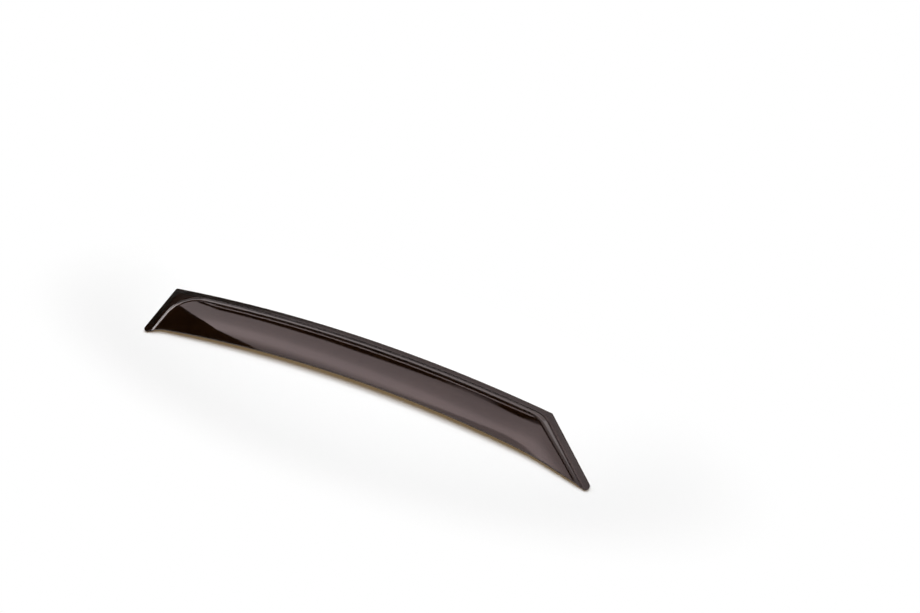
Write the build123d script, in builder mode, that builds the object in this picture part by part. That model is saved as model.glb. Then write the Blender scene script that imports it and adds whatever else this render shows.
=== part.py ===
from build123d import *

import os
from math import atan2, cos, degrees, hypot, radians, tan

# Plan of the moulding in millimetres, seen from outside the car: X runs along the chord of the
# top edge, Y points up the door, and the upper left corner is the starting point.
top_chord = 620.0  # between the two upper corners
top_bow = 18.5  # rise of the top edge above its chord
left_drop = 93.0  # upper left corner down to the left tip
right_drop = 101.0  # upper right corner down to the right tip
right_run = 93.0  # how far the right tip reaches past the upper right corner
heel_run = 28.0  # left edge to the heel, where the free edge starts
heel_rise = 12.5  # the heel above the left tip
toe_setback = 98.0  # right tip back to the toe, where the free edge turns down
toe_rise = 24.3  # the toe above the right tip
free_edge_drop = 57.8  # the free edge below the chord at mid span
upper_corner_radius = 3.0
left_tip_radius = 6.0
right_tip_radius = 6.0
heel_radius = 40.0
toe_radius = 400.0

# Flange that is taped to the door frame.
top_flange = 8.5  # top edge to the foot of the step
left_flange = 12.5
right_flange = 11.5
arch = 5.0  # rise of the flange at mid span, to follow the curve of the car's side

# Raised panel, with heights measured from the outer face of the flange.
wall = 2.5  # thickness of the acrylic
step_slope = 34.0  # degrees, slope of the step between flange and panel
step_rise = 5.8  # step at the upper corners
tip_rise = 3.0  # step at the two tips
left_fall = 1  # power with which the step gets lower from the upper left corner to the tip
right_fall = 3  # the same on the right
crown_rise = 7.4  # highest line of the panel
crown_inset = 40.0  # the crown's distance from the top edge
crown_radius = 300.0  # section of the panel
shoulder_inset = 26.0  # where the panel starts to roll down to the step
shoulder_radius = 65.0
left_sweep = 95.0  # length over which the panel comes down to the left flange
right_sweep = 150.0
left_panel_corner = 50.0  # plan radius of the step at the upper left corner
right_panel_corner = 45.0
crest_radius = 12.0  # rounded top of the step, outside
crease_radius = 4.0  # hollow at the foot of the step, outside

# Foam tape under the flange.
tape_width = 6.0
tape_thickness = 1.1
tape_inset = 0.8  # flange edge to tape
tape_gap = 0.6  # between one strip and the next
tape_tip_gap = 18.0  # flange left bare at the two tips
top_lengths = 3  # strips laid end to end along the top edge

# Room that the working solids keep around the moulding, and the sections that carry the panel.
overrun = 12.0
headroom = 1.0
depth = 25.0
station_count = 19
section_shares = (0, 0.06, 0.12, 0.18, 0.26, 0.4, 0.6, 0.8, 1)

upper_left = (0.0, 0.0)
upper_right = (top_chord, 0.0)
left_tip = (0.0, -left_drop)
right_tip = (top_chord + right_run, -right_drop)
heel = (heel_run, -left_drop + heel_rise)
toe = (right_tip[0] - toe_setback, -right_drop + toe_rise)
free_middle = ((heel[0] + toe[0]) / 2, -free_edge_drop)
top_radius = (top_chord**2 / 4 + top_bow**2) / (2 * top_bow)
top_centre = (top_chord / 2, top_bow - top_radius)
tape_outer = top_radius - tape_inset
tape_inner = tape_outer - tape_width
right_edge = hypot(right_run, right_drop)
right_along = Vector(right_run / right_edge, -right_drop / right_edge)
right_inward = Vector(right_along.Y, -right_along.X)
north = top_bow + overrun
south = -right_drop - overrun


def base_height(x, y):
    """Height of the arched surface that the tape lies on. Both ends touch the ground."""
    share = x / (top_chord - y * right_run / right_drop)
    return 4 * arch * share * (1 - share)


def top_edge(x):
    """Y of the top edge above a place on its chord."""
    share = x / top_chord
    return 4 * top_bow * share * (1 - share)


def fullness(x):
    """0 at the two ends of the panel and 1 where its section is whole."""
    from_left = (x - left_flange) / left_sweep
    from_right = (right_tip[0] - right_flange - x) / right_sweep
    share = min(1.0, max(0.0, min(from_left, from_right)))
    return share * share * (3 - 2 * share)


def panel_height(x, y):
    """Height of the panel's outer face above the flange's outer face."""
    inset = min(max(0.0, top_edge(x) - y), top_bow + free_edge_drop + overrun)
    crown = crown_rise - (inset - crown_inset) ** 2 / (2 * crown_radius)
    roll = max(0.0, shoulder_inset - inset) ** 2 / (2 * shoulder_radius)
    fall = left_fall if x < top_chord / 2 else right_fall
    end = tip_rise + (step_rise - tip_rise) * max(0.0, 1 + y / right_drop) ** fall
    full = fullness(x)
    return full * (crown - roll) + (1 - full) * end


def below_flange(level):
    """Everything under the arched surface raised by level."""
    with BuildPart() as space:
        for y in (north, south):
            far = top_chord - y * right_run / right_drop
            left = (-overrun, base_height(-overrun, y) + level)
            right = (far + overrun, base_height(far + overrun, y) + level)
            with BuildSketch(Plane.XZ.offset(-y)):
                with BuildLine():
                    ThreePointArc(left, (far / 2, arch + level), right)
                    Polyline(right, (right[0], -depth), (left[0], -depth), left)
                make_face()
        loft(ruled=True)
    return space.part


def below_panel(level):
    """Everything under the panel's face, with the flange's face at level."""
    pitch = right_tip[0] / (station_count - 1)
    with BuildPart() as space:
        for station in range(-1, station_count + 1):
            x = pitch * station
            first = top_edge(x) + overrun
            rows = [first + (south - first) * share for share in section_shares]
            crown = [(y, base_height(x, y) + level + panel_height(x, y)) for y in rows]
            with BuildSketch(Plane.YZ.offset(x)):
                with BuildLine():
                    Spline(*crown)
                    Polyline(crown[-1], (south, -depth), (first, -depth), crown[0])
                make_face()
        loft()
    return space.part


def between_ends(left_inset, right_inset):
    """Corners of the field between the left and right edges, each moved inwards."""
    foot = Vector(*upper_right) + right_inward * right_inset
    upper = foot - right_along * right_edge
    lower = foot + right_along * (2 * right_edge)
    return [(left_inset, upper.Y), upper, lower, (left_inset, lower.Y)]


def step_region(sink):
    """Plan of the step's slope where it meets the level sink below the ends of the flange."""
    lean = 1 / tan(radians(step_slope))
    spread = sink * lean
    # The step leans inwards as it rises, so the arch is added to the bow of its foot.
    bow = top_bow + arch * lean
    radius = (top_chord**2 / 4 + bow**2) / (2 * bow)
    with BuildSketch() as region:
        with Locations((top_chord / 2, bow - radius - top_flange)):
            Circle(radius + spread)
        with BuildLine():
            Polyline(*between_ends(left_flange - spread, right_flange - spread), close=True)
        make_face(mode=Mode.INTERSECT)
        left, right = region.vertices().sort_by(Axis.Y)[-2:].sort_by(Axis.X)
        fillet(left, radius=left_panel_corner + spread)
        right = region.vertices().sort_by_distance(right.center())[0]
        fillet(right, radius=right_panel_corner + spread)
    return region.sketch


def pressed_form(sink, crest, crease):
    """The moulding's outer form, or with the wall as sink its inner form, as a solid block."""
    face = tape_thickness + wall - sink
    slope_sink = sink / cos(radians(step_slope))
    with BuildPart() as form:
        with BuildSketch(Plane.XY.offset(-slope_sink)):
            add(step_region(tape_thickness + wall))
        extrude(amount=slope_sink + arch + face + crown_rise + headroom, taper=90 - step_slope)
        add(below_flange(face))
        foot = form.edges(Select.NEW).filter_by(lambda edge: edge.center().Y > -right_drop)
        fillet(foot, radius=crease)
        add(below_panel(face), mode=Mode.INTERSECT)
        panel = form.faces().sort_by(Axis.Z)[-1]
        fillet(panel.edges().sort_by(Axis.Y)[1:], radius=crest)
    return form.part


def outline():
    """Plan of the whole moulding."""
    rounded = (
        (upper_left, upper_corner_radius),
        (upper_right, upper_corner_radius),
        (right_tip, right_tip_radius),
        (toe, toe_radius),
        (heel, heel_radius),
        (left_tip, left_tip_radius),
    )
    with BuildSketch() as plan:
        with BuildLine():
            ThreePointArc(upper_left, (top_chord / 2, top_bow), upper_right)
            Polyline(upper_right, right_tip, toe)
            ThreePointArc(toe, free_middle, heel)
            Polyline(heel, left_tip, upper_left)
        make_face()
        for corner, radius in rounded:
            fillet(plan.vertices().sort_by_distance(Vector(*corner))[0], radius=radius)
    return plan.sketch


def top_plan(number):
    """Plan of one of the lengths of tape along the top edge, counted from the left."""
    pitch = (top_chord + tape_inset + tape_width) / top_lengths
    with BuildSketch() as plan:
        with Locations(top_centre):
            Circle(tape_outer)
            Circle(tape_inner, mode=Mode.SUBTRACT)
        with BuildLine():
            Polyline(*between_ends(tape_inset, tape_inset), close=True)
        make_face(mode=Mode.INTERSECT)
        with Locations((pitch * number + tape_gap / 2, south)):
            Rectangle(pitch - tape_gap, north - south, align=(Align.MIN, Align.MIN), mode=Mode.INTERSECT)
    return plan.sketch


def tape_strip(plan):
    """Tape of the given plan that fills the space between the arched surface and the flange."""
    with BuildPart() as strip:
        extrude(plan, amount=depth)
        add(below_flange(tape_thickness), mode=Mode.INTERSECT)
        add(below_flange(0), mode=Mode.SUBTRACT)
    return strip.part


# The moulding: outer form less inner form, trimmed to the plan.
with BuildPart() as shield:
    add(pressed_form(0, crest_radius, crease_radius))
    add(pressed_form(wall, crest_radius - wall, crease_radius + wall), mode=Mode.SUBTRACT)
    extrude(outline(), amount=3 * depth, mode=Mode.INTERSECT)

# The tape: three lengths along the top edge, and one along each end, cut to their lower edge.
with BuildSketch() as left_plan:
    with Locations((tape_inset, -left_drop + tape_tip_gap)):
        Rectangle(tape_width, left_drop, align=(Align.MIN, Align.MIN))
    with Locations(top_centre):
        Circle(tape_inner - tape_gap, mode=Mode.INTERSECT)
right_lean = degrees(atan2(right_run, right_drop))
right_start = Vector(*right_tip) - right_along * tape_tip_gap + right_inward * tape_inset
with BuildSketch() as right_plan:
    with Locations(Location(right_start, (0, 0, right_lean))):
        Rectangle(tape_width, right_edge, align=(Align.MAX, Align.MIN))
    with Locations(top_centre):
        Circle(tape_inner - tape_gap, mode=Mode.INTERSECT)
with BuildPart() as tape_top_left:
    add(tape_strip(top_plan(0)))
with BuildPart() as tape_top_middle:
    add(tape_strip(top_plan(1)))
with BuildPart() as tape_top_right:
    add(tape_strip(top_plan(2)))
with BuildPart() as tape_left:
    add(tape_strip(left_plan.sketch))
with BuildPart() as tape_right:
    add(tape_strip(right_plan.sketch))

# The frame's origin is the middle of the footprint, on the ground.
pieces = {
    "shield": shield,
    "tape_top_left": tape_top_left,
    "tape_top_middle": tape_top_middle,
    "tape_top_right": tape_top_right,
    "tape_left": tape_left,
    "tape_right": tape_right,
}
footprint = shield.part.bounding_box().center()
ground = min(piece.part.bounding_box().min.Z for piece in pieces.values())
home = Location((-footprint.X, -footprint.Y, -ground))
os.makedirs("parts", exist_ok=True)
for name, piece in pieces.items():
    piece.part.move(home)
    piece.part.label = name
    export_step(piece.part, f"parts/{name}.step")
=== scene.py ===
# %% [markdown]
# # A smoked window deflector
#
# This deflector is a strip of smoked acrylic, pressed over a mould so that a flat flange runs round
# three sides and a raised, gently curved panel stands out from it. Foam tape under the flange holds it
# to the door frame. The lesson builds a smooth, glossy version of that pressing over the imported solids.
#
# The imported model comes first, because every later piece takes its place from it.

# %% Load the imported model
import bpy
import bmesh
from math import cos, radians, sin, tan
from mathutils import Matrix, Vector


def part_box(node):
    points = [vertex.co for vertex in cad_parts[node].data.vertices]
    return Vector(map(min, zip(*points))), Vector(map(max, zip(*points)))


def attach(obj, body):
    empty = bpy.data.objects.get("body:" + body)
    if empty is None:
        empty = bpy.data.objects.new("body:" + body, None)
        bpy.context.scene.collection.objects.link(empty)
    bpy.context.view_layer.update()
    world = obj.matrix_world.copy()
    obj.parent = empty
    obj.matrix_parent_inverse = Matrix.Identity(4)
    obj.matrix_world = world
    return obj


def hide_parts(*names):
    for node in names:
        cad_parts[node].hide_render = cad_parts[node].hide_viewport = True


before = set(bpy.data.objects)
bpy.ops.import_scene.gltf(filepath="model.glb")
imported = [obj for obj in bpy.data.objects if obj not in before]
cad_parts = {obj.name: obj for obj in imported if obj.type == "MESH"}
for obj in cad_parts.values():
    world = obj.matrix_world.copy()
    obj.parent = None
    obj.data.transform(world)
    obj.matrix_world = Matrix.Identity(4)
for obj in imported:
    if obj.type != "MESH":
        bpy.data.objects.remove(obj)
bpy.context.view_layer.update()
scene = bpy.context.scene
scene.view_settings.view_transform = "Standard"
print("nodes:", sorted(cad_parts))

# %% [markdown]
# ## The camera
#
# The view comes before any modelling, so that each piece can be judged from the place it will be seen
# from. The picture was taken from about 50 degrees above the table and a little to the right, with a
# slightly wide lens. A camera looks along its own -Z axis, so `to_track_quat` turns it to its target.

# %% Place the camera
view_azimuth = radians(22.09)
view_elevation = radians(50.0)
view_distance = 1.3389
view_target = Vector((0.07517, 0.17397, 0.0))
towards_camera = Vector((
    cos(view_elevation) * sin(view_azimuth),
    -cos(view_elevation) * cos(view_azimuth),
    sin(view_elevation),
))
camera_data = bpy.data.cameras.new("table_camera")
camera_data.sensor_width = 36.0
camera_data.lens = 33.848
camera = bpy.data.objects.new("table_camera", camera_data)
camera.location = view_target + towards_camera * view_distance
camera.rotation_euler = (-towards_camera).to_track_quat("-Z", "Y").to_euler()
scene.collection.objects.link(camera)
scene.camera = camera
print("camera at", tuple(round(c, 3) for c in camera.location))

# %% [markdown]
# ## Plan of the pressing
#
# A pressed sheet is described by its plan and by its heights. The plan comes first, as six corners. The
# values are in millimetres, in the maker's own axes: X along the chord of the top edge, Y up the door, and
# the upper left corner as the starting point. `home` is where those axes start in the row frame. It is
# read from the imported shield, which rests on the tape.

# %% Corners of the plan
top_chord, top_bow = 620.0, 18.5
left_drop = 93.0
right_drop, right_run = 101.0, 93.0
heel_run, heel_rise = 28.0, 12.5
toe_setback, toe_rise = 98.0, 24.3
free_edge_drop = 57.8
tape_thickness = 1.1

upper_left = Vector((0.0, 0.0))
upper_right = Vector((top_chord, 0.0))
left_tip = Vector((0.0, -left_drop))
right_tip = Vector((top_chord + right_run, -right_drop))
heel = Vector((heel_run, heel_rise - left_drop))
toe = Vector((right_tip.x - toe_setback, toe_rise - right_drop))

low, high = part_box("shield")
home = Vector((low.x * 1000, high.y * 1000 - top_bow, low.z * 1000 - tape_thickness))
print("the maker's axes start at", tuple(round(c, 2) for c in home), "mm in the row frame")

# %% [markdown]
# The top edge and the free edge are long arcs, each known by its two ends and its middle. A spoke from the
# centre that turns in small steps gives the points of an arc.

# %% The two long arcs
def circle_through(start, middle, end):
    """Centre and radius of the circle through three points."""
    a, b = start - middle, end - middle
    across = Vector((
        b.y * a.length_squared - a.y * b.length_squared,
        a.x * b.length_squared - b.x * a.length_squared,
    ))
    to_centre = across / (2 * (a.x * b.y - a.y * b.x))
    return middle + to_centre, to_centre.length


def arc_points(centre, first, last, count):
    """Points on the arc about a centre from one point to another."""
    radius = (first - centre).length
    spokes = [(first - centre).lerp(last - centre, k / count) for k in range(count + 1)]
    return [centre + spoke.normalized() * radius for spoke in spokes]


long_steps = 120
top_centre, top_radius = circle_through(upper_left, Vector((top_chord / 2, top_bow)), upper_right)
top_arc = arc_points(top_centre, upper_left, upper_right, long_steps)
free_middle = Vector(((heel.x + toe.x) / 2, -free_edge_drop))
free_centre, free_radius = circle_through(heel, free_middle, toe)
free_arc = arc_points(free_centre, heel, toe, long_steps)
print("radius of the top edge", round(top_radius), "mm, of the free edge", round(free_radius), "mm")

# %% [markdown]
# All six corners are rounded. Four of them lie between nearly straight sides, where the centre of the
# round is on the line that halves the corner. The heel and the toe lead from the long free edge into a
# straight line. There the place of the round is found by halving a range until both lines are touched.

# %% Rounded corners
turn_steps = 12
upper_corner_radius, tip_radius = 3.0, 6.0
heel_radius, toe_radius = 40.0, 400.0


def rounded(corner, before, after, radius):
    """Points on the small arc that rounds a corner, from the side before to the side after."""
    to_before = (before - corner).normalized()
    to_after = (after - corner).normalized()
    half = to_before.angle(to_after) / 2
    reach = radius / tan(half)
    centre = corner + (to_before + to_after).normalized() * (radius / sin(half))
    return arc_points(centre, corner + to_before * reach, corner + to_after * reach, turn_steps)


def rounded_off_arc(corner, line_end, centre, radius, turn, count=16):
    """Points on the arc of radius turn that leads from a long arc into a straight line."""
    away = (line_end - corner).normalized()
    inward = Vector((-away.y, away.x))
    if inward.dot(centre - corner) < 0:
        inward.negate()
    near, far = 0.0, 200.0
    for _ in range(50):
        reach = (near + far) / 2
        middle = corner + away * reach + inward * turn
        if (middle - centre).length > radius - turn:
            near = reach
        else:
            far = reach
    start = centre + (middle - centre).normalized() * radius
    return arc_points(middle, start, corner + away * reach, count)


turn_upper_left = rounded(upper_left, left_tip, top_arc[1], upper_corner_radius)
turn_upper_right = rounded(upper_right, top_arc[-2], right_tip, upper_corner_radius)
turn_right_tip = rounded(right_tip, upper_right, toe, tip_radius)
turn_left_tip = rounded(left_tip, heel, upper_left, tip_radius)
turn_heel = rounded_off_arc(heel, left_tip, free_centre, free_radius, heel_radius)[::-1]
turn_toe = rounded_off_arc(toe, right_tip, free_centre, free_radius, toe_radius)
print("the free edge runs from x", round(turn_heel[-1].x, 1), "to", round(turn_toe[0].x, 1), "mm")

# %% [markdown]
# The sheet will be one grid of quads that is stretched to the plan, so that its rows run along the
# deflector and its columns across it. For that, the plan is split into four sides that meet in the middle
# of the rounded corners. A point of a long arc that lies inside a rounded corner is dropped, so that no
# line doubles back.

# %% Four sides
half_turn = turn_steps // 2
corner_reach = 4.0
top_run = [p for p in top_arc if corner_reach < p.x < top_chord - corner_reach]
free_run = [p for p in free_arc if turn_heel[-1].x + 1.0 < p.x < turn_toe[0].x - 1.0]
top_side = turn_upper_left[half_turn:] + top_run + turn_upper_right[:half_turn + 1]
right_side = turn_upper_right[half_turn:] + turn_right_tip[:half_turn + 1]
left_side = turn_upper_left[half_turn::-1] + turn_left_tip[:half_turn - 1:-1]
free_side = turn_left_tip[half_turn::-1] + turn_heel + free_run
free_side += turn_toe + turn_right_tip[:half_turn - 1:-1]
print("points on the sides:", len(top_side), len(right_side), len(free_side), len(left_side))

# %% [markdown]
# ## Where the step runs
#
# In plan the step follows the top edge and both ends. What the surface needs is the distance inwards from
# the foot of the step. The top is a large circle and the ends are straight lines. The step leans inwards
# as it rises, so the arch of the flange is added to the bow of the foot, and `spread` carries the foot down
# to the ground.

# %% Foot of the step
top_flange, left_flange, right_flange = 8.5, 12.5, 11.5
arch, wall = 5.0, 2.5
step_slope = radians(34.0)
lean = 1 / tan(step_slope)
spread = (tape_thickness + wall) * lean
foot_bow = top_bow + arch * lean
foot_radius = (top_chord**2 / 4 + foot_bow**2) / (2 * foot_bow)
foot_centre = Vector((top_chord / 2, foot_bow - foot_radius - top_flange))
foot_radius += spread
right_along = (right_tip - upper_right).normalized()
right_inward = Vector((right_along.y, -right_along.x))


def from_top(p):
    return foot_radius - (p - foot_centre).length


def from_left(p):
    return p.x - left_flange + spread


def from_right(p):
    return (p - upper_right).dot(right_inward) - right_flange + spread


print("the slope spreads the foot by", round(spread, 2), "mm")

# %% [markdown]
# At each upper corner the step turns on a wide circle that touches the top line and the end line. Its
# centre is found by moving a guess in turn to the right distance from each of the two lines.

# %% Turns of the step
left_corner, right_corner = 50.0, 45.0
left_radius = left_corner + spread
right_radius = right_corner + spread


def turn_centre(from_end, aside, guess, radius):
    """Centre of the circle that touches both the top line and an end line of the step."""
    p = guess.copy()
    for _ in range(60):
        p += Vector((0.0, -1.0)) * (radius - from_top(p))
        p += aside * (radius - from_end(p))
    return p


left_turn = turn_centre(from_left, Vector((1.0, 0.0)), Vector((60.0, -40.0)), left_radius)
right_turn = turn_centre(from_right, right_inward, Vector((580.0, -60.0)), right_radius)


def step_inset(p):
    """Distance inwards from the foot of the step, negative on the flange."""
    inset = min(from_top(p), from_left(p), from_right(p))
    for centre, radius, aside in (
        (left_turn, left_radius, Vector((-1.0, 0.0))),
        (right_turn, right_radius, -right_inward),
    ):
        spoke = p - centre
        upward = (centre - foot_centre).normalized()
        # The turn rules only between its two touching points.
        crossing = aside.x * upward.y - aside.y * upward.x
        share_aside = (spoke.x * upward.y - spoke.y * upward.x) / crossing
        share_upward = (aside.x * spoke.y - aside.y * spoke.x) / crossing
        if share_aside > 0 and share_upward > 0:
            inset = radius - spoke.length
    return inset


for turn in (left_turn, right_turn):
    print("step turns round", tuple(round(c, 1) for c in turn))

# %% [markdown]
# ## The pressed surface
#
# Three surfaces make the outer face: the arched flange, the slope of the step, and the crowned panel. The
# flange and the panel have their own formulas. The panel is crowned in its section, rolls down to the step
# at the top, and comes down to a lower height at both ends.

# %% Heights of flange and panel
step_rise, tip_rise, crown_rise = 5.8, 3.0, 7.4
left_fall, right_fall = 1, 3
crown_inset, crown_radius = 40.0, 300.0
shoulder_inset, shoulder_radius = 26.0, 65.0
left_sweep, right_sweep = 95.0, 150.0
overrun = 12.0
panel_depth = top_bow + free_edge_drop + overrun


def base_height(p):
    """Height of the arched surface that the tape lies on."""
    share = p.x / (top_chord - p.y * right_run / right_drop)
    return 4 * arch * share * (1 - share)


def panel_height(p):
    """Height of the panel above the flange."""
    share = p.x / top_chord
    inset = min(max(0.0, 4 * top_bow * share * (1 - share) - p.y), panel_depth)
    crown = crown_rise - (inset - crown_inset) ** 2 / (2 * crown_radius)
    roll = max(0.0, shoulder_inset - inset) ** 2 / (2 * shoulder_radius)
    fall = left_fall if p.x < top_chord / 2 else right_fall
    end = tip_rise + (step_rise - tip_rise) * max(0.0, 1 + p.y / right_drop) ** fall
    full = min((p.x - left_flange) / left_sweep, (right_tip.x - right_flange - p.x) / right_sweep)
    full = min(1.0, max(0.0, full))
    full = full * full * (3 - 2 * full)
    return full * (crown - roll) + (1 - full) * end


crown_place = Vector((top_chord / 2, top_bow - crown_inset))
print("crown at mid span:", round(panel_height(crown_place), 2), "mm above the flange")

# %% [markdown]
# The flange of a pressed sheet isn't quite true. Here its outer face leans out half a millimetre at the left
# end and in a little at the right one. That is hardly a shape, but it decides what the flange mirrors.

# %% Lean of the flange
left_lean, mid_lean, right_lean = 0.085, 0.008, 0.017
most_lean = 0.035
lean_width = 16.0


def end_shares(p):
    """How near a place is to the left end and to the right end, each from 0 at mid span to 1."""
    aside = 2 * p.x / top_chord - 1
    return min(1.0, max(0.0, -aside)), min(1.0, max(0.0, aside))


def outside_step(p):
    """Distance outwards from the line where the flange meets the step."""
    return (base_height(p) + tape_thickness + wall) * lean - step_inset(p)


def flange_twist(p):
    """Drop of the flange's outer face, which leans out at the left end and in at the right one."""
    to_left, to_right = end_shares(p)
    lean_out = min(most_lean, left_lean * to_left**2 - mid_lean - right_lean * to_right)
    return lean_out * min(lean_width, max(0.0, outside_step(p)))


for corner in (upper_left, upper_right):
    print("drop at the corner", tuple(corner), "is", round(flange_twist(corner), 2), "mm")

# %% [markdown]
# The real sheet can't fold sharply, so the flange runs into the slope through a small hollow and the slope
# into the panel through a wider round. A blended maximum and minimum does both, with the blend width worked
# out from the radius that is wanted, so the reflections bend round the step as they do on a pressed sheet.

# %% Blend of flange, slope and panel
crest_radius, crease_radius = 12.0, 4.0
bond_depth = 0.04
flange_alone, panel_alone = 8.0, 12.0
grade_step = 0.5
least_turn = 0.1


def blended_min(a, b, width):
    return min(a, b) - max(width - abs(a - b), 0.0) ** 2 / (4 * width)


def face_height(p, sink, crest, crease):
    """Height of the outer face, or of the inner one with the wall as sink."""
    inset = step_inset(p)
    rise = tan(step_slope)
    flange = base_height(p) + tape_thickness + wall - sink
    panel = flange + panel_height(p)
    flange -= flange_twist(p) if sink == 0 else bond_depth
    slope = inset * rise - sink / cos(step_slope)
    if slope < flange - flange_alone:
        return flange
    if slope > panel + panel_alone:
        return panel
    east = step_inset(p + Vector((grade_step, 0.0))) - inset
    north = step_inset(p + Vector((0.0, grade_step))) - inset
    inward = Vector((east, north)).normalized() * grade_step
    grade = (panel_height(p + inward) - panel_height(p - inward)) / (2 * grade_step)
    turn = max(least_turn, rise - grade)
    middle = (rise + grade) / 2
    crest_width = turn**2 * crest / (2 * (1 + middle**2) ** 1.5)
    crease_width = rise**2 * crease / (2 * (1 + rise**2 / 4) ** 1.5)
    raised = blended_min(slope, panel, crest_width)
    return -blended_min(-raised, -flange, crease_width)


for y in (15.0, -20.0, -57.0):
    height = face_height(Vector((top_chord / 2, y)), 0.0, crest_radius, crease_radius)
    print("height at mid span, y", y, "is", round(height, 2), "mm")

# %% [markdown]
# ## Rows and columns
#
# Reflections show every facet, so the quads are small where the sheet bends and long where it is nearly
# flat. `graded` walks along a line with a step that grows away from the places that need detail, and
# returns the shares at which rows or columns are put.

# %% Spacing of the grid
def graded(length, fine, coarse, first_zone, last_zone, growth=0.08):
    """Shares from 0 to 1, with fine steps in both end zones and coarser ones between."""
    places = [0.0]
    while places[-1] < length:
        into = max(0.0, min(places[-1] - first_zone, length - last_zone - places[-1]))
        places.append(places[-1] + min(coarse, fine + growth * into))
    return [place / places[-1] for place in places]


columns = graded(length=665.0, fine=0.9, coarse=5.0, first_zone=62.0, last_zone=88.0)
rows = graded(length=82.0, fine=0.7, coarse=2.2, first_zone=27.0, last_zone=1.0)
print(len(columns), "columns and", len(rows), "rows")

# %% [markdown]
# ## The outer face
#
# `create_grid` makes the flat sheet with all its quads, and then every vertex goes to its place. The plan
# place comes from the four sides: a mix of top and free edge, plus a mix of the two ends, less the corners
# that were counted twice. The height comes from the blended surface.

# %% Stretch a grid to the plan
def along(points, share):
    """Place on a line of points at a share of its length."""
    lengths = [(b - a).length for a, b in zip(points, points[1:])]
    rest = share * sum(lengths)
    for a, b, length in zip(points, points[1:], lengths):
        if rest <= length or b is points[-1]:
            return a.lerp(b, min(1.0, rest / length))
        rest -= length


top_points = [along(top_side, share) for share in columns]
free_points = [along(free_side, share) for share in columns]
left_points = [along(left_side, share) for share in rows]
right_points = [along(right_side, share) for share in rows]
bm = bmesh.new()
bmesh.ops.create_grid(bm, x_segments=len(columns) - 1, y_segments=len(rows) - 1, size=0.5)
for vert in bm.verts:
    column = round((vert.co.x + 0.5) * (len(columns) - 1))
    row = round((0.5 - vert.co.y) * (len(rows) - 1))
    u, v = columns[column], rows[row]
    across = top_points[column] * (1 - v) + free_points[column] * v
    lengthwise = left_points[row] * (1 - u) + right_points[row] * u
    upper = top_points[0] * (1 - u) + top_points[-1] * u
    lower = free_points[0] * (1 - u) + free_points[-1] * u
    place = across + lengthwise - upper * (1 - v) - lower * v
    vert.co = (place.x, place.y, face_height(place, 0.0, crest_radius, crease_radius))
print("outer face:", len(bm.faces), "quads")

# %% [markdown]
# The flange is rougher than the panel, a satin grain, and painted shade darkens its mirror image, most of all
# at the left end. How much goes into a vertex layer, `flange_satin_and_shade`, which the material reads
# later.
# It starts a little outside the step and grows softly.

# %% Note the satin flange and its painted shade
# Painted shade: these levels also set how far the flange's mirror image is darkened, most at the left end.
mid_satin_and_shade, left_satin_and_shade, right_satin_and_shade = 0.47, 1.0, 0.25
left_growth = 1.6
satin_and_shade_start, satin_and_shade_run = 1.5, 2.5
satin_and_shade_layer = bm.verts.layers.float.new("flange_satin_and_shade")
for vert in bm.verts:
    place = Vector((vert.co.x, vert.co.y))
    to_left, to_right = end_shares(place)
    satin_and_shade = mid_satin_and_shade + (right_satin_and_shade - mid_satin_and_shade) * to_right
    satin_and_shade += (left_satin_and_shade - mid_satin_and_shade) * min(1.0, left_growth * to_left)
    vert[satin_and_shade_layer] = satin_and_shade * min(1.0, max(0.0, (outside_step(place) - satin_and_shade_start) / satin_and_shade_run))
print("vertices of the dull flange:", sum(vert[satin_and_shade_layer] > 0 for vert in bm.verts))

# %% [markdown]
# ## The wall
#
# Acrylic of even thickness is pressed, so the inner face follows the outer one at 2.5 mm, with a tighter
# crest and a wider hollow. Extruding the whole face region gives a second sheet joined by a rim, and its
# vertices are set to the inner height. The rim stays upright, as a saw leaves it. Under the flange the inner
# face goes `bond_depth`, 0.04 mm, into the tape, because a bonded tape leaves no air behind the plastic.

# %% Give the sheet its thickness
bmesh.ops.recalc_face_normals(bm, faces=bm.faces)
outer_faces = list(bm.faces)
made = bmesh.ops.extrude_face_region(bm, geom=outer_faces)
for vert in made["geom"]:
    if isinstance(vert, bmesh.types.BMVert):
        place = Vector((vert.co.x, vert.co.y))
        vert.co.z = face_height(place, wall, crest_radius - wall, crease_radius + wall)
bmesh.ops.recalc_face_normals(bm, faces=bm.faces)
print("shell:", len(bm.faces), "faces, volume", round(bm.calc_volume() / 1000, 1), "cm3")

# %% [markdown]
# ## The cut edge
#
# The sawn rim is flame polished, which leaves a tiny round on both of its edges. A bevel on the rim's long
# edges gives that round, and with it the fine bright line that a polished edge shows.

# %% Round the rim
polish_radius = 0.3
rim_angle = radians(45.0)
rim_edges = [
    edge for edge in bm.edges
    if len(edge.link_faces) == 2 and edge.calc_face_angle() > rim_angle
]
bmesh.ops.bevel(
    bm, geom=rim_edges, offset=polish_radius, offset_type="OFFSET", segments=2, profile=0.5,
    affect="EDGES", material=-1, clamp_overlap=True,
)
print("edges rounded:", len(rim_edges))

# %% [markdown]
# ## The finished piece
#
# The mesh goes from the maker's axes in millimetres to the row frame in metres. The object itself stays at
# the origin. It rides on the only body and stands for the imported solid, which stays for collision,
# hidden.

# %% Make the shield object
bmesh.ops.translate(bm, vec=home, verts=bm.verts)
bmesh.ops.scale(bm, vec=(0.001, 0.001, 0.001), verts=bm.verts)
for face in bm.faces:
    face.smooth = True
shield_mesh = bpy.data.meshes.new("smoked_shield")
bm.to_mesh(shield_mesh)
bm.free()
shield_mesh.set_sharp_from_angle(angle=radians(40.0))
shield = bpy.data.objects.new("smoked_shield", shield_mesh)
scene.collection.objects.link(shield)
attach(shield, "root")
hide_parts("shield")
print("smoked shield:", len(shield_mesh.polygons), "faces")

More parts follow.
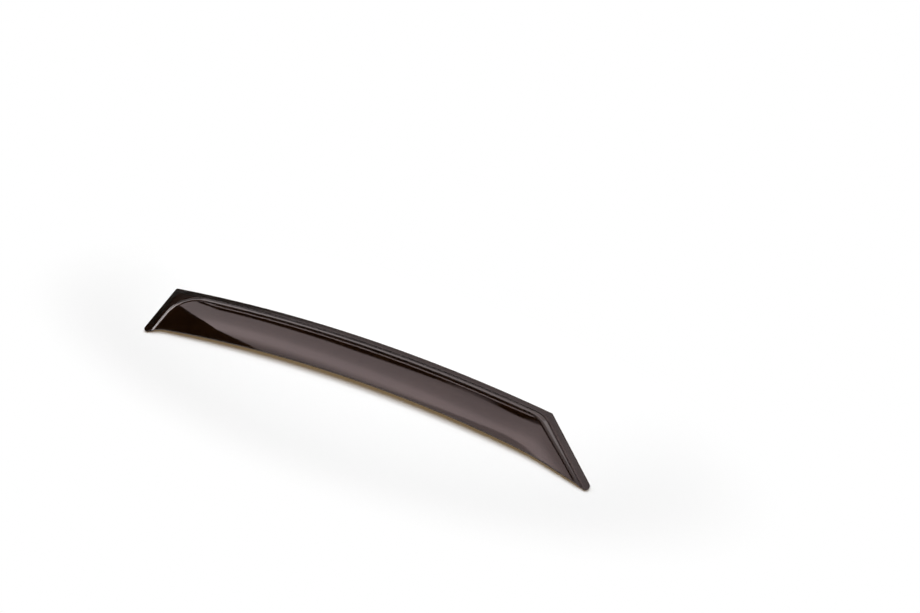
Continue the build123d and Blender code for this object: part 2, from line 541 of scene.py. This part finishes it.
# %% [markdown]
# ## Smoked acrylic
#
# Smoked acrylic is clear plastic with a brown-black dye through its whole thickness. It looks nearly black
# over a shadow, lets a little golden light through, and mirrors its surroundings in its gloss. Its material
# is a tree of nodes, and two helpers keep that short: one starts an empty tree, and one adds a node and fills
# its inputs. Patterns sit on Object coordinates, so they stay with the piece.

# %% Start the acrylic
def new_material(name):
    """Material with an empty node tree, and the tree."""
    material = bpy.data.materials.new(name)
    material.use_nodes = True
    material.node_tree.nodes.clear()
    return material, material.node_tree


def add_node(tree, kind, inputs):
    """New node, with each input set to a value or linked to another node's output."""
    node = tree.nodes.new(kind)
    for name, source in inputs.items():
        if isinstance(source, bpy.types.NodeSocket):
            tree.links.new(source, node.inputs[name])
        else:
            node.inputs[name].default_value = source
    return node


acrylic, tree = new_material("smoked_acrylic")
coords = tree.nodes.new("ShaderNodeTexCoord").outputs["Object"]
print("started the material", acrylic.name)

# %% [markdown]
# The dye comes first. A faint cloud makes it a little thicker in some places than in others: noise picks
# a colour from a ramp with two stops.

# %% Dye of the acrylic
def colour_ramp(tree, share, stops):
    """Output of a Color Ramp node with (position, colour) stops."""
    ramp = add_node(tree, "ShaderNodeValToRGB", {"Fac": share})
    elements = ramp.color_ramp.elements
    while len(elements) < len(stops):
        elements.new(0.5)
    for element, (position, colour) in zip(elements, stops):
        element.position = position
        element.color = (*colour, 1.0)
    return ramp.outputs["Color"]


dye_cloud = add_node(tree, "ShaderNodeTexNoise", {"Vector": coords, "Scale": 14.0, "Detail": 2.0})
thick_dye, thin_dye = (0.045, 0.027, 0.022), (0.06, 0.038, 0.031)
dye = colour_ramp(tree, dye_cloud.outputs["Fac"], ((0.35, thick_dye), (0.65, thin_dye)))
print("dye between", thick_dye, "and", thin_dye)

# %% [markdown]
# Fine handling marks vary the gloss a little. On the flange, `flange_satin_and_shade` makes the surface
# rougher and, through a near-black Specular Tint, darkens its mirror image, which is painted shade. A Math
# node can do such sums, so it gets a helper too.

# %% Gloss of the acrylic, with painted shade on the flange
def calculate(tree, operation, *values):
    """Output of a Math node on values or other nodes' outputs."""
    node = add_node(tree, "ShaderNodeMath", dict(enumerate(values)))
    node.operation = operation
    return node.outputs["Value"]


clean_roughness, marked_roughness, satin_roughness = 0.02, 0.05, 0.14
handling = add_node(tree, "ShaderNodeTexNoise", {"Vector": coords, "Scale": 60.0, "Detail": 5.0})
gloss = add_node(tree, "ShaderNodeMapRange", {
    "Value": handling.outputs["Fac"],
    "From Min": 0.35,
    "From Max": 0.75,
    "To Min": clean_roughness,
    "To Max": marked_roughness,
})
flange_satin_and_shade = tree.nodes.new("ShaderNodeAttribute")
flange_satin_and_shade.attribute_name = "flange_satin_and_shade"
satin_and_shade_share = flange_satin_and_shade.outputs["Fac"]
satin = calculate(tree, "MULTIPLY_ADD", satin_and_shade_share, satin_roughness, gloss.outputs["Result"])
# The flange's near-black mirror tint is painted shade: it darkens what the flange mirrors.
panel_mirror, flange_painted_shade_mirror = (1.0, 0.8, 0.81), (0.05, 0.04, 0.04)
mirror_tint_and_painted_shade = colour_ramp(tree, satin_and_shade_share, ((0.0, panel_mirror), (1.0, flange_painted_shade_mirror)))
print("roughness up to", round(marked_roughness + satin_roughness, 2), "on the dullest flange")

# %% [markdown]
# A Principled shader with full transmission and the refraction of acrylic makes the plastic. Faint waves
# from the pressing go into its normal as a bump of a hundredth of a millimetre.

# %% Plastic with faint waves
waves = add_node(tree, "ShaderNodeTexNoise", {"Vector": coords, "Scale": 22.0, "Detail": 1.0})
ripple = add_node(tree, "ShaderNodeBump", {
    "Height": waves.outputs["Fac"],
    "Strength": 1.0,
    "Distance": 0.000012,
})
plastic = add_node(tree, "ShaderNodeBsdfPrincipled", {
    "Base Color": dye,
    "Roughness": satin,
    "IOR": 1.49,
    "Transmission Weight": 1.0,
    # The Specular Tint carries the painted shade of the flange.
    "Specular Tint": mirror_tint_and_painted_shade,
    "Normal": ripple.outputs["Normal"],
})
print("refraction of acrylic:", round(plastic.inputs["IOR"].default_value, 2))

# %% [markdown]
# Lamps can't shine through refracting surfaces without noise, so shadow and diffuse rays meet a tinted
# Transparent shader instead. That lays the golden shadow on the table.

# %% Light through the acrylic
rays = tree.nodes.new("ShaderNodeLightPath")
lamp_pass = add_node(tree, "ShaderNodeBsdfTransparent", {"Color": (0.4, 0.325, 0.222, 1.0)})
for_shadow = add_node(tree, "ShaderNodeMixShader", {
    "Fac": rays.outputs["Is Shadow Ray"],
    1: plastic.outputs["BSDF"],
    2: lamp_pass.outputs["BSDF"],
})
for_diffuse = add_node(tree, "ShaderNodeMixShader", {
    "Fac": rays.outputs["Is Diffuse Ray"],
    1: for_shadow.outputs["Shader"],
    2: lamp_pass.outputs["BSDF"],
})
add_node(tree, "ShaderNodeOutputMaterial", {"Surface": for_diffuse.outputs["Shader"]})
shield_mesh.materials.append(acrylic)
print("acrylic:", len(tree.nodes), "nodes")

# %% [markdown]
# ## Foam tape
#
# The strips under the flange are acrylic foam tape: dark grey, matt, with a fine closed cell grain. Their
# solids already have the right shape, so they only get a material. Two scales of noise give the grain its
# colour and its bump.

# %% Tape material
foam, tree = new_material("foam_tape")
coords = tree.nodes.new("ShaderNodeTexCoord").outputs["Object"]
cells = add_node(tree, "ShaderNodeTexVoronoi", {"Vector": coords, "Scale": 2600.0})
mottle = add_node(tree, "ShaderNodeTexNoise", {"Vector": coords, "Scale": 420.0, "Detail": 4.0})
dark_grey, light_grey = (0.045, 0.046, 0.048), (0.085, 0.086, 0.088)
grey = colour_ramp(tree, mottle.outputs["Fac"], ((0.3, dark_grey), (0.7, light_grey)))
grain = add_node(tree, "ShaderNodeBump", {
    "Height": cells.outputs["Distance"],
    "Strength": 0.6,
    "Distance": 0.0001,
})
rubber = add_node(tree, "ShaderNodeBsdfPrincipled", {
    "Base Color": grey,
    "Roughness": 0.82,
    "Normal": grain.outputs["Normal"],
})
add_node(tree, "ShaderNodeOutputMaterial", {"Surface": rubber.outputs["BSDF"]})
for name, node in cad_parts.items():
    if name.startswith("tape"):
        node.data.materials.clear()
        node.data.materials.append(foam)
        print(name, "has foam tape")

# %% [markdown]
# ## The table
#
# The deflector lies on a plain white table. A single large quad is enough, a tenth of a millimetre below the
# tape, so that the two faces don't fight.

# %% Floor
floor_size = 4.0
floor_gap = 0.0001
floor_mesh = bpy.data.meshes.new("table_top")
bm = bmesh.new()
bmesh.ops.create_grid(bm, x_segments=1, y_segments=1, size=floor_size)
bmesh.ops.translate(bm, vec=(0.0, 0.0, -floor_gap), verts=bm.verts)
bm.to_mesh(floor_mesh)
bm.free()
floor = bpy.data.objects.new("table_top", floor_mesh)
scene.collection.objects.link(floor)
print("table:", 2 * floor_size, "m wide")

# %% [markdown]
# Near the piece the table is an ordinary white surface, so that it keeps the golden shadow. Further out it
# turns into plain white for the camera, also through the acrylic, so that the picture ends in an even
# white. An oval round the piece is the border. A Mapping node of type Texture squeezes the oval to a circle,
# and the distance from the middle then gives a soft fade.

# %% White further out
def smooth_step(tree, value, first, last, low=0.0, high=1.0):
    """Output that goes softly from low, where the value is first, to high, where it is last."""
    node = add_node(tree, "ShaderNodeMapRange", {
        "Value": value,
        "From Min": first,
        "From Max": last,
        "To Min": low,
        "To Max": high,
    })
    node.interpolation_type = "SMOOTHSTEP"
    return node.outputs["Result"]


oval_reach = (0.6, 0.2, 1.0)
table_white, tree = new_material("table_white")
coords = tree.nodes.new("ShaderNodeTexCoord").outputs["Object"]
oval = add_node(tree, "ShaderNodeMapping", {"Vector": coords, "Scale": oval_reach})
oval.vector_type = "TEXTURE"
distance = add_node(tree, "ShaderNodeVectorMath", {0: oval.outputs["Vector"]})
distance.operation = "LENGTH"
rays = tree.nodes.new("ShaderNodeLightPath")
through = rays.outputs["Is Transmission Ray"]
seen = calculate(tree, "MAXIMUM", rays.outputs["Is Camera Ray"], through)
faded = calculate(tree, "MULTIPLY", smooth_step(tree, distance.outputs["Value"], 0.65, 1.0), seen)
print("plain white outside an oval of", oval_reach[:2], "m")

# %% [markdown]
# Mirror images of the table behind the piece see a warm white too, because the light line along the step is
# an image of that part of the table. Rays that were bent through the acrylic count as glossy as well, so
# they are taken off.

# %% Table in the mirror
mirrored = calculate(tree, "SUBTRACT", rays.outputs["Is Glossy Ray"], through)
mirrored.node.use_clamp = True
axes = add_node(tree, "ShaderNodeSeparateXYZ", {"Vector": coords})
behind = add_node(tree, "ShaderNodeMapRange", {
    "Value": axes.outputs["Y"],
    "From Min": -0.02,
    "From Max": 0.02,
})
mirrored_behind = calculate(tree, "MULTIPLY", mirrored, behind.outputs["Result"])
matt = add_node(tree, "ShaderNodeBsdfDiffuse", {"Color": (0.97, 0.97, 0.97, 1.0)})
plain = add_node(tree, "ShaderNodeEmission", {"Strength": 1.0})
far_white = add_node(tree, "ShaderNodeMixShader", {
    "Fac": faded,
    1: matt.outputs["BSDF"],
    2: plain.outputs["Emission"],
})
warm = add_node(tree, "ShaderNodeEmission", {"Color": (1.0, 0.9, 0.9, 1.0), "Strength": 1.0})
mirror_white = add_node(tree, "ShaderNodeMixShader", {
    "Fac": mirrored_behind,
    1: far_white.outputs["Shader"],
    2: warm.outputs["Emission"],
})
add_node(tree, "ShaderNodeOutputMaterial", {"Surface": mirror_white.outputs["Shader"]})
floor_mesh.materials.append(table_white)
print("table:", len(tree.nodes), "nodes")

# %% [markdown]
# ## Light
#
# A glossy dark surface is mostly a picture of its surroundings, so the light is a shape as much as a
# brightness. A softbox hangs over the table: a grid with its left front corner sliced off by `bisect_plane`,
# which puts the slanting edge of its mirror image on the left end of the panel.

# %% Softbox
soft_height = 1.2


def lamp_panel(half_width, half_depth, x, y):
    """Flat rectangle at the height of the softbox, turned over so that it faces down."""
    bm = bmesh.new()
    bmesh.ops.create_grid(bm, x_segments=1, y_segments=1, size=1.0)
    bmesh.ops.scale(bm, vec=(half_width, half_depth, 1.0), verts=bm.verts)
    bmesh.ops.translate(bm, vec=(x, y, soft_height), verts=bm.verts)
    bmesh.ops.reverse_faces(bm, faces=bm.faces)
    return bm


def hang(name, bm):
    """Object of a lamp panel, which gives light but isn't seen by the camera."""
    mesh = bpy.data.meshes.new(name)
    bm.to_mesh(mesh)
    bm.free()
    lamp = bpy.data.objects.new(name, mesh)
    lamp.visible_camera = False
    scene.collection.objects.link(lamp)
    return lamp


bm = lamp_panel(1.185, 0.7, -0.185, 0.3)
bmesh.ops.bisect_plane(
    bm, geom=bm.verts[:] + bm.edges[:] + bm.faces[:],
    plane_co=(-0.93, 0.43, soft_height), plane_no=(0.587, 0.809, 0.0), clear_inner=True,
)
softbox = hang("softbox", bm)
print("softbox has", len(softbox.data.vertices), "corners at", soft_height, "m")

# %% [markdown]
# The cloth of a softbox glows unevenly, and the panel shows that as soft bands. The glow has two parts, both
# drawn along the depth of the softbox, measured a little aslant. The first part is even and stops at the
# back, along an edge that bulges a little.

# %% Even glow
glow_front, glow_back = -0.4, 0.93
brightest = 4.0
glow, tree = new_material("softbox_glow")
coords = tree.nodes.new("ShaderNodeTexCoord").outputs["Object"]
axes = add_node(tree, "ShaderNodeSeparateXYZ", {"Vector": coords})
side, depth = axes.outputs["X"], axes.outputs["Y"]
depth_share = add_node(tree, "ShaderNodeMapRange", {
    "Value": calculate(tree, "MULTIPLY_ADD", side, 0.06, depth),
    "From Min": glow_front,
    "From Max": glow_back,
}).outputs["Result"]


def glow_profile(share, stops):
    """Ramp over the depth of the softbox from (metres, brightness) stops."""
    reach = glow_back - glow_front
    return colour_ramp(tree, share, [
        ((metres - glow_front) / reach, (level / brightest,) * 3) for metres, level in stops
    ])


from_middle = calculate(tree, "ABSOLUTE", calculate(tree, "ADD", side, 0.1))
bulge = smooth_step(tree, from_middle, 0.45, 0.0, high=0.06)
even_stops = ((-0.4, 1.5), (0.838, 1.6), (0.862, 0.0))
even_part = glow_profile(calculate(tree, "SUBTRACT", depth_share, bulge), even_stops)
print("even glow up to", even_stops[1][1])

# %% [markdown]
# The second part is a brighter band. Its front edge slants and is fairly sharp, which leaves a darker rim
# along the free edge of the panel. Towards the right the band lies further back, and then fades out.

# %% Bright band
right_shift = smooth_step(tree, side, 0.02, 0.26, high=0.06)
band_stops = ((0.31, 0.0), (0.43, 2.0), (0.52, 1.8), (0.6, 0.85), (0.71, 0.42), (0.838, 0.25), (0.862, 0.0))
band_part = glow_profile(calculate(tree, "SUBTRACT", depth_share, right_shift), band_stops)
side_fade = smooth_step(tree, side, 0.34, 0.23)
front_edge = smooth_step(tree, calculate(tree, "MULTIPLY_ADD", side, -0.2, depth), 0.425, 0.465)
band = calculate(tree, "MULTIPLY", calculate(tree, "MULTIPLY", band_part, side_fade), front_edge)
strength = calculate(tree, "MULTIPLY", calculate(tree, "ADD", even_part, band), brightest)
light = add_node(tree, "ShaderNodeEmission", {"Strength": strength})
add_node(tree, "ShaderNodeOutputMaterial", {"Surface": light.outputs["Emission"]})
softbox.data.materials.append(glow)
print("softbox glow:", len(tree.nodes), "nodes")

# %% [markdown]
# A narrow strip of light hangs behind the softbox. On the rounded crest of the step it shows as one thin
# light line between two dark ones.

# %% Strip lamp
strip_lamp = hang("strip_lamp", lamp_panel(0.9, 0.085, -0.7, 1.2))
strip_glow, tree = new_material("strip_glow")
light = add_node(tree, "ShaderNodeEmission", {"Strength": 2.3})
add_node(tree, "ShaderNodeOutputMaterial", {"Surface": light.outputs["Emission"]})
strip_lamp.data.materials.append(strip_glow)
print("strip lamp at", soft_height, "m")

# %% [markdown]
# The softbox is shaped for its mirror image, and alone it is too weak for a white table. A broad lamp just
# below it adds the rest of the light. It is hidden from mirror rays, so it doesn't show in the gloss.

# %% Overhead lamp
overhead_data = bpy.data.lights.new("overhead_lamp", "AREA")
overhead_data.shape = "RECTANGLE"
overhead_data.size = 1.8
overhead_data.size_y = 0.9
overhead_data.energy = 10.9
overhead = bpy.data.objects.new("overhead_lamp", overhead_data)
overhead.location = (-0.05, 0.3, 1.15)
overhead.visible_glossy = False
overhead.visible_transmission = False
scene.collection.objects.link(overhead)
print("overhead lamp:", round(overhead_data.energy, 1), "W")

# %% [markdown]
# The room around the table is dark, with a pale backdrop that stands all round up to about 10 degrees above
# the table top and is brightest on the left, and a white wall on the right that stands higher. They make the
# light line along the step, and the dark above them makes the dark lines. A world shader can do that,
# because it knows the side and the height of the direction that a ray comes from.

# %% Backdrop and wall
world = bpy.data.worlds.new("studio_room")
world.use_nodes = True
scene.world = world
tree = world.node_tree
tree.nodes.clear()
coords = tree.nodes.new("ShaderNodeTexCoord").outputs["Generated"]
axes = add_node(tree, "ShaderNodeSeparateXYZ", {"Vector": coords})
side, height = axes.outputs["X"], axes.outputs["Z"]
backdrop = smooth_step(tree, height, 0.06, 0.18, low=2.0, high=0.0024)
left_lamp = smooth_step(tree, side, -0.74, -0.86, low=1.0, high=3.5)
right_half = smooth_step(tree, side, -0.05, 0.12)
right_wall = smooth_step(tree, height, 0.69, 0.56, high=0.96)
low_light = calculate(tree, "MULTIPLY", backdrop, left_lamp)
right_light = calculate(tree, "MULTIPLY", right_half, right_wall)
all_round = calculate(tree, "MAXIMUM", low_light, right_light)
print("backdrop and wall:", len(tree.nodes), "nodes")

# %% [markdown]
# Only mirror rays see that room. The camera sees plain white, and the light that falls on the piece from the
# room is weak, so that the lamps make the shadow.

# %% Room
rays = tree.nodes.new("ShaderNodeLightPath")
level = add_node(tree, "ShaderNodeMix", {"Factor": rays.outputs["Is Glossy Ray"], "A": 0.04, "B": all_round})
seen_white = calculate(tree, "MAXIMUM", level.outputs["Result"], rays.outputs["Is Camera Ray"])
room = add_node(tree, "ShaderNodeBackground", {"Color": (1.0, 1.0, 1.0, 1.0), "Strength": seen_white})
add_node(tree, "ShaderNodeOutputWorld", {"Surface": room.outputs["Background"]})
print("room:", len(tree.nodes), "nodes")
